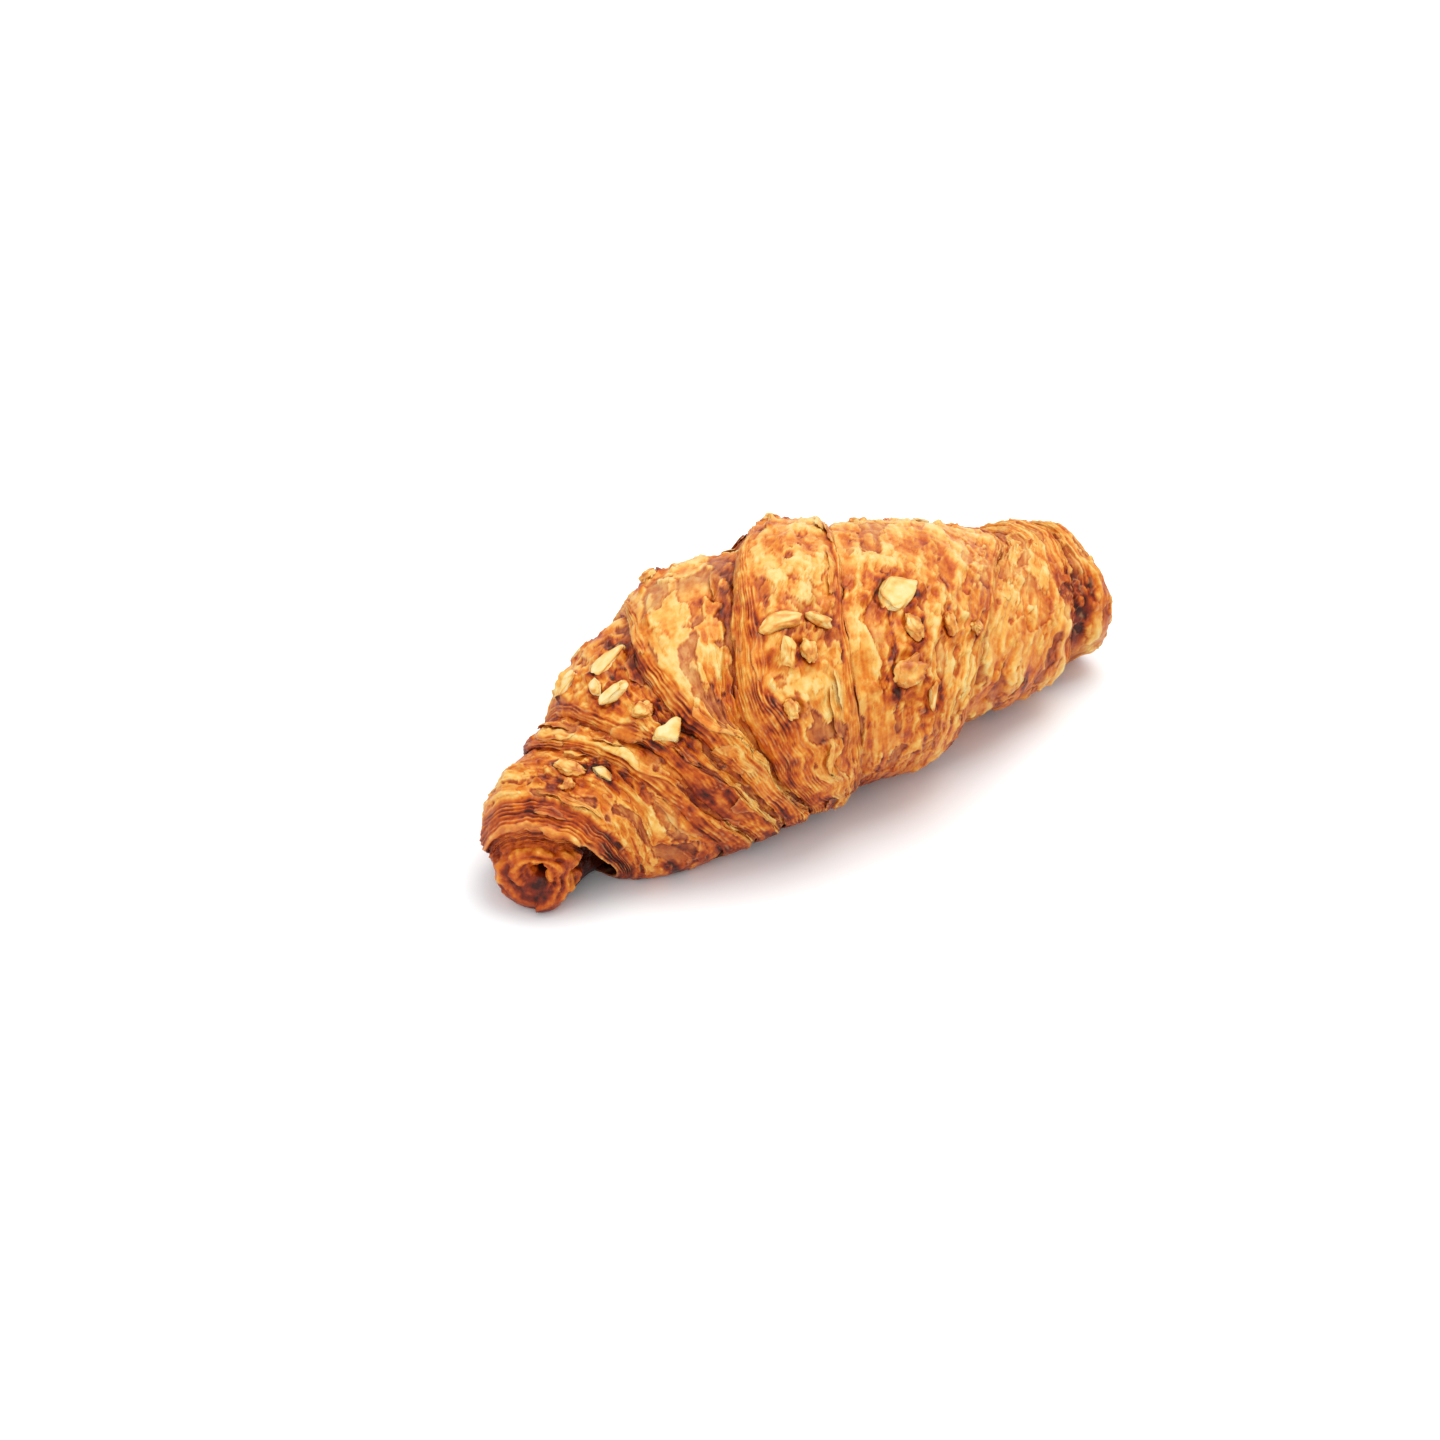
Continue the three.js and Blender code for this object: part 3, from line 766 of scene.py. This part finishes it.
def shards(count, seed):
    """Thin flakes of crust, stuck down on one side and lifting at the other: points, quads, fields."""
    pick = np.random.default_rng(seed)
    coarse = 8
    coarse_cols = math.ceil(COLS / coarse)
    chance = (upward * (0.12 + near_face) * (1 - seat) * (1 - core) * (1 - rim_of_nut))[::coarse, ::coarse]
    chance = np.maximum(chance, 0).ravel()
    picked = pick.choice(len(chance), count, replace=False, p=chance / chance.sum())
    outward = grid_normals(shown)
    rings, spokes = 6, 30
    turn = np.arange(spokes) * 2 * math.pi / spokes
    made, joins = [], []
    for i in picked:
        r0 = i // coarse_cols * coarse
        c0 = i % coarse_cols * coarse
        long, wide = pick.uniform(2.5, 7.5), pick.uniform(0.8, 1.9)
        rise = pick.uniform(0.3, 1.0)
        side = -1 if wrap_number[r0, c0] <= 4 else 1
        torn = 1 + 0.25 * noise(np.cos(turn) * 1.4 + i, np.sin(turn) * 1.4, 0.5 + i)
        torn += 0.22 * noise(np.cos(turn) * 4 + i, np.sin(turn) * 4, 7.5 + i)
        share = np.linspace(0, 1, rings)[:, None] ** 0.8
        u = share * (np.cos(turn) * torn * long) + 0.12 * long * share * np.sin(2 * turn + i)
        v = share * (np.sin(turn) * torn * wide)
        step_round = max(np.linalg.norm(base[r0, (c0 + 1) % COLS] - base[r0, c0]), 0.05)
        row, col = r0 + v / STEP, c0 + u / step_round
        place, out = sample(shown, row, col), sample(outward, row, col)
        lift = 0.02 + rise * smooth((side * v / wide + 0.9) / 2.0) ** 1.6
        thick = 0.09 * (1 - 0.6 * share ** 3)
        top = place + out * (lift + thick)[..., None]
        under_side = place + out * (lift - thick)[..., None]
        first = len(made) * 2 * rings * spokes
        sampled = [sample(field, row, col) for field in (bake_and_shade, dull, flow, round_y, round_z)]
        made.append((top, under_side, share * np.ones(spokes), *sampled))
        r, c = np.meshgrid(np.arange(rings - 1), np.arange(spokes), indexing="ij")
        a, b = first + r * spokes + c, first + r * spokes + (c + 1) % spokes
        upper = np.stack([a, a + spokes, b + spokes, b], -1).reshape(-1, 4)
        lower = upper[:, ::-1] + rings * spokes
        rim = first + (rings - 1) * spokes + np.arange(spokes)
        nxt = first + (rings - 1) * spokes + (np.arange(spokes) + 1) % spokes
        edge = np.stack([rim, rim + rings * spokes, nxt + rings * spokes, nxt], -1)
        joins.append(np.concatenate([upper, lower, edge]))
    points = np.concatenate([np.concatenate([m[0].reshape(-1, 3), m[1].reshape(-1, 3)]) for m in made])
    points[:, 2] = np.maximum(points[:, 2], FLAKE_FLOOR)
    fields = dict(bake_and_shade=[], film_and_highlight=[], dull=[], face=[], flow_x=[], flow_y=[], flow_z=[])
    for _, _, share, tone, worn, x, y, z in made:
        tone = (tone - 0.04 - 0.08 * share ** 4).ravel()
        for under_side in (0, 1):
            # The underside of each flake is painted darker: painted shade under the lifted flake.
            fields["bake_and_shade"].append(np.clip(tone + 0.25 * under_side, 0, 1))
            fields["film_and_highlight"].append(0.6 * share.ravel() ** 5)
            fields["dull"].append(0.7 * worn.ravel())
            fields["face"].append(0 * tone + 0.2)
            fields["flow_x"].append(x.ravel())
            fields["flow_y"].append(y.ravel())
            fields["flow_z"].append(z.ravel())
    return points, np.concatenate(joins), {key: np.concatenate(value) for key, value in fields.items()}


def plain_mesh(name, points, faces, fields):
    """A smooth piece from points in millimetres, faces and fields."""
    mesh = bpy.data.meshes.new(name)
    mesh.from_pydata((points * MM).tolist(), [], faces.tolist())
    mesh.polygons.foreach_set("use_smooth", np.full(len(faces), True))
    put_fields(mesh, fields)
    return put_in_scene(name, mesh)


shard_points, shard_faces, shard_fields = shards(FLAKE_COUNT, FLAKE_SEED)
flakes = plain_mesh("crust_flakes", shard_points + shift, shard_faces, shard_fields)

crust = close_tube("crust", shown + shift, dict(
    bake_and_shade=bake_and_shade, film_and_highlight=film_and_highlight, dull=dull, face=soft_face,
    flow_x=flow, flow_y=round_y, flow_z=round_z))


# ---- materials ----
COLOUR_GAIN = 0.73             # from the colours as written to the darker ones that are lit
# Colours from least to most baked: place from 0 to 1, then red, green and blue out of 255.
GLAZED_TONES = [
    (0.0, 255, 224, 144), (0.18, 255, 193, 92), (0.38, 238, 138, 36),
    (0.58, 206, 88, 8), (0.78, 144, 42, 2), (1.0, 64, 16, 2),
]
DULL_TONES = [(0.0, 228, 164, 104), (0.35, 198, 120, 70), (0.7, 146, 68, 34), (1.0, 80, 28, 12)]
NUT_TONES = [
    (0.0, 255, 236, 174), (0.25, 255, 211, 116), (0.5, 240, 156, 54),
    (0.75, 196, 92, 22), (1.0, 120, 44, 10),
]
FILM_AND_HIGHLIGHT_TONE = (244, 196, 132)
FILM_AND_HIGHLIGHT_SHARE = 0.45              # how much of the film's and painted highlight's colour covers the crust
DULL_SHARE = 0.7


def new_material(name):
    material = bpy.data.materials.new(name)
    material.use_nodes = True
    return material, material.node_tree


def link(tree, a, b):
    tree.links.new(a, b)


def node(tree, kind, **settings):
    """A shader node with its inputs or its settings given by name."""
    made = tree.nodes.new(kind)
    for key, value in settings.items():
        if key in made.inputs:
            made.inputs[key].default_value = value
        else:
            setattr(made, key, value)
    return made


def colour(red, green, blue):
    """Linear colour from screen values out of 255."""
    linear = []
    for value in (red, green, blue):
        share = value / 255
        linear.append(share / 12.92 if share <= 0.04045 else ((share + 0.055) / 1.055) ** 2.4)
    return (*(COLOUR_GAIN * c for c in linear), 1.0)


def ramp(tree, factor, tones):
    """Colour of a 0 to 1 factor from a list of tones."""
    made = tree.nodes.new("ShaderNodeValToRGB")
    elements = made.color_ramp.elements
    while len(elements) < len(tones):
        elements.new(0.5)
    for element, (place, *tone) in zip(elements, tones):
        element.position = place
        element.color = colour(*tone)
    link(tree, factor, made.inputs["Fac"])
    return made.outputs["Color"]


def crust_material():
    material, tree = new_material("crust")
    shader = tree.nodes["Principled BSDF"]

    def field(name):
        made = tree.nodes.new("ShaderNodeAttribute")
        made.attribute_name = name
        return made.outputs["Fac"]

    def math_node(operation, a, b=None, clamp=False):
        made = tree.nodes.new("ShaderNodeMath")
        made.operation = operation
        made.use_clamp = clamp
        for i, value in enumerate((a, b)):
            if value is None:
                continue
            if isinstance(value, (int, float)):
                made.inputs[i].default_value = value
            else:
                link(tree, value, made.inputs[i])
        return made.outputs[0]

    place = tree.nodes.new("ShaderNodeTexCoord").outputs["Object"]
    drawn = tree.nodes.new("ShaderNodeCombineXYZ")
    for axis, key, scale in (("X", "flow_x", 1.0), ("Y", "flow_y", 0.16), ("Z", "flow_z", 0.16)):
        link(tree, math_node("MULTIPLY", field(key), scale), drawn.inputs[axis])

    grain = node(tree, "ShaderNodeTexNoise", Scale=1.3, Detail=3.0, Roughness=0.6)
    link(tree, drawn.outputs[0], grain.inputs["Vector"])
    speck = node(tree, "ShaderNodeTexNoise", Scale=900.0, Detail=3.0, Roughness=0.65)
    link(tree, place, speck.inputs["Vector"])
    bubble = node(tree, "ShaderNodeTexVoronoi", Scale=620.0, feature="SMOOTH_F1")
    link(tree, place, bubble.inputs["Vector"])

    def swing(value, middle, share):
        return math_node("MULTIPLY", math_node("SUBTRACT", value, middle), share)

    shade = math_node("ADD", field("bake_and_shade"), swing(grain.outputs["Fac"], 0.5, 0.24))
    shade = math_node("ADD", shade, swing(speck.outputs["Fac"], 0.5, 0.30))
    shade = math_node("ADD", shade, swing(bubble.outputs["Distance"], 0.4, 0.16), True)
    pale = tree.nodes.new("ShaderNodeMix")
    pale.data_type = "RGBA"
    link(tree, math_node("MULTIPLY", field("film_and_highlight"), FILM_AND_HIGHLIGHT_SHARE), pale.inputs["Factor"])
    link(tree, ramp(tree, shade, GLAZED_TONES), pale.inputs["A"])
    pale.inputs["B"].default_value = colour(*FILM_AND_HIGHLIGHT_TONE)
    worn = tree.nodes.new("ShaderNodeMix")
    worn.data_type = "RGBA"
    link(tree, math_node("MULTIPLY", field("dull"), DULL_SHARE), worn.inputs["Factor"])
    link(tree, pale.outputs["Result"], worn.inputs["A"])
    link(tree, ramp(tree, shade, DULL_TONES), worn.inputs["B"])
    link(tree, worn.outputs["Result"], shader.inputs["Base Color"])

    rough = math_node("ADD", 0.36, math_node("MULTIPLY", field("face"), 0.18))
    rough = math_node("ADD", rough, math_node("MULTIPLY", speck.outputs["Fac"], 0.16))
    link(tree, rough, shader.inputs["Roughness"])
    shader.inputs["Subsurface Weight"].default_value = 0.0
    shader.inputs["Specular IOR Level"].default_value = 0.20
    shader.inputs["Coat Weight"].default_value = 0.07
    shader.inputs["Coat Roughness"].default_value = 0.32

    first = node(tree, "ShaderNodeBump", Strength=0.5, Distance=0.0004)
    link(tree, grain.outputs["Fac"], first.inputs["Height"])
    second = node(tree, "ShaderNodeBump", Strength=0.5, Distance=0.0003)
    bubbled = math_node("MULTIPLY", bubble.outputs["Distance"], 0.8)
    link(tree, math_node("ADD", speck.outputs["Fac"], bubbled), second.inputs["Height"])
    link(tree, first.outputs["Normal"], second.inputs["Normal"])
    link(tree, second.outputs["Normal"], shader.inputs["Normal"])
    return material


crust_finish = crust_material()
for piece in (crust, flakes):
    piece.data.materials.append(crust_finish)
    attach(piece, "root")
    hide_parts("croissant")


# ---- the nuts ----
def ball(level):
    """Points and triangles of a unit ball."""
    made = bmesh.new()
    bmesh.ops.create_icosphere(made, subdivisions=level, radius=1.0)
    points = np.array([v.co[:] for v in made.verts])
    faces = np.array([[v.index for v in f.verts] for f in made.faces])
    made.free()
    return points, faces


NUT_SINK = 0.5                 # how far a nut is pressed into the crust
# kind: cut planes round the rim, how sharply they meet, lumpiness, height of the top, toasting
NUT_KINDS = {
    "flake": (5, 18.0, 0.10, 0.55, 0.12),
    "sliver": (5, 14.0, 0.12, 0.70, 0.06),
    "stick": (6, 10.0, 0.14, 0.80, 0.18),
    "kernel": (7, 7.0, 0.18, 0.85, 0.24),
    "crumb": (5, 7.0, 0.20, 0.85, 0.32),
}


def nut_shape(kind, seed, ball_points):
    """A broken piece of nut in a box from -1 to 1, and how toasted each point is."""
    sides, sharp, lumpy, flat, toast = NUT_KINDS[kind]
    pick = np.random.default_rng(seed)
    turn = (np.arange(sides) + pick.uniform(-0.33, 0.33, sides)) * 2 * math.pi / sides + pick.uniform(0, 6)
    planes = np.stack([np.cos(turn), np.sin(turn), pick.uniform(-0.35, 0.35, sides)], -1)
    reach = pick.uniform(0.72, 1.0, sides)
    lids = np.array([[0, 0, 1.0], [0, 0, -1.0]]) + pick.uniform(-0.2, 0.2, (2, 3))
    cuts = pick.normal(size=(4, 3))
    cuts[:, 2] = np.abs(cuts[:, 2])
    planes = np.concatenate([planes, lids, cuts])
    planes /= np.linalg.norm(planes, axis=1, keepdims=True)
    reach = np.concatenate([reach, [flat, flat], pick.uniform(0.82, 1.0, 4)])
    pull = np.maximum(ball_points @ planes.T, 0) / reach
    radius = 1 / (pull ** sharp).sum(1) ** (1 / sharp)
    for _ in range(3):
        toward = pick.normal(size=3) * (1, 1, 0.4)
        toward /= np.linalg.norm(toward)
        radius *= 1 - pick.uniform(0.12, 0.30) * np.exp(-((1 - ball_points @ toward) / 0.12) ** 2)
    shape = ball_points * radius[:, None]
    if kind in ("kernel", "crumb"):
        knob = cells(shape, 0.62, seed * 1.3)[0]
        shape = shape * (1 + 0.27 * domes(knob, 0.62))[:, None]
    lumps = fbm(shape, 0.9, 4, seed * 3.7)
    shape = shape * (1 + lumpy * lumps)[:, None]
    waves, start = pick.uniform(1.0, 2.0), pick.uniform(0, 3)
    shape[:, 1] += 0.18 * np.sin(shape[:, 0] * waves + start) * (kind != "kernel")
    low, high = shape.min(0), shape.max(0)
    shape = (shape - (low + high) / 2) / ((high - low) / 2)
    edge = band((pull ** sharp).max(1) / (pull ** sharp).sum(1), 0.95, 0.55)
    toasted = toast + 0.04 + 0.26 * fbm(shape, 0.9, 3, seed * 1.9)
    toasted += 0.22 * edge + 0.25 * band(shape[:, 2], 0.0, -0.8)
    return shape, np.clip(toasted, 0, 1)


def nut_material():
    material, tree = new_material("nut")
    shader = tree.nodes["Principled BSDF"]
    toast = tree.nodes.new("ShaderNodeAttribute")
    toast.attribute_name = "toast"
    place = tree.nodes.new("ShaderNodeTexCoord").outputs["Object"]
    grain = node(tree, "ShaderNodeTexNoise", Scale=700.0, Detail=3.0, Roughness=0.6)
    link(tree, place, grain.inputs["Vector"])
    mixed = node(tree, "ShaderNodeMath", operation="MULTIPLY_ADD", use_clamp=True)
    link(tree, grain.outputs["Fac"], mixed.inputs[0])
    mixed.inputs[1].default_value = 0.35
    shifted = node(tree, "ShaderNodeMath", operation="SUBTRACT")
    link(tree, toast.outputs["Fac"], shifted.inputs[0])
    shifted.inputs[1].default_value = 0.175
    link(tree, shifted.outputs[0], mixed.inputs[2])
    link(tree, ramp(tree, mixed.outputs[0], NUT_TONES), shader.inputs["Base Color"])
    shader.inputs["Roughness"].default_value = 0.42
    shader.inputs["Specular IOR Level"].default_value = 0.45
    bump = node(tree, "ShaderNodeBump", Strength=0.4, Distance=0.0003)
    link(tree, grain.outputs["Fac"], bump.inputs["Height"])
    link(tree, bump.outputs["Normal"], shader.inputs["Normal"])
    return material


nut_finish = nut_material()
ball_points, ball_faces = ball(5)
for order, (name, nut) in enumerate(nuts.items()):
    kind = name.split("_")[1]
    shape, toasted = nut_shape(kind, order + 1, ball_points)
    points = (shape * nut["half"]) @ nut["axes"] + nut["centre"] - NUT_SINK * nut["axes"][2] + shift
    piece = plain_mesh(name + "_shown", points, ball_faces, dict(toast=toasted))
    piece.data.materials.append(nut_finish)
    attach(piece, "root")
    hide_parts(name)


# ---- stage ----
def stage_material():
    material, tree = new_material("floor")
    shader = tree.nodes["Principled BSDF"]
    shader.inputs["Base Color"].default_value = (0.90, 0.935, 0.96, 1)
    shader.inputs["Roughness"].default_value = 0.7
    shader.inputs["Specular IOR Level"].default_value = 0.2
    return material


bpy.ops.mesh.primitive_plane_add(size=8.0, location=(0, 0, 0))
floor = bpy.context.object
floor.name = "floor"
floor.data.materials.append(stage_material())


def area_light(name, place, size, power, tint):
    """A soft light at that place, in metres, turned to the middle of the floor."""
    light = bpy.data.lights.new(name, "AREA")
    light.shape = "RECTANGLE"
    light.size, light.size_y = size
    light.energy = power
    light.color = tint
    obj = bpy.data.objects.new(name, light)
    obj.location = place
    obj.rotation_mode = "QUATERNION"
    obj.rotation_quaternion = (-Vector(place)).to_track_quat("-Z", "Y")
    bpy.context.scene.collection.objects.link(obj)


area_light("key", (0.27, 0.02, 0.96), (0.8, 0.8), 6.6, (1.0, 0.98, 0.95))
area_light("fill", (-0.75, -0.45, 0.5), (0.7, 0.5), 2.2, (1.0, 0.985, 0.97))

world = bpy.data.worlds.new("studio")
world.use_nodes = True
world.node_tree.nodes["Background"].inputs["Color"].default_value = (1, 1, 1, 1)
world.node_tree.nodes["Background"].inputs["Strength"].default_value = 0.90
bpy.context.scene.world = world
bpy.context.scene.view_settings.view_transform = "Standard"

# ---- camera ----
AZIMUTH = math.radians(-40.15)
ELEVATION = math.radians(32.0)
DISTANCE = 0.739
AIM = Vector((-0.0211, 0.0013, 0.020))
back = Vector((
    math.sin(AZIMUTH) * math.cos(ELEVATION),
    -math.cos(AZIMUTH) * math.cos(ELEVATION),
    math.sin(ELEVATION),
))
lens = bpy.data.cameras.new("camera")
lens.lens = 85.0
lens.sensor_width = 36.0
lens.clip_start, lens.clip_end = 0.05, 20.0
camera = bpy.data.objects.new("camera", lens)
camera.location = AIM + back * DISTANCE
camera.rotation_mode = "QUATERNION"
camera.rotation_quaternion = (-back).to_track_quat("-Z", "Y")
bpy.context.scene.collection.objects.link(camera)
bpy.context.scene.camera = camera
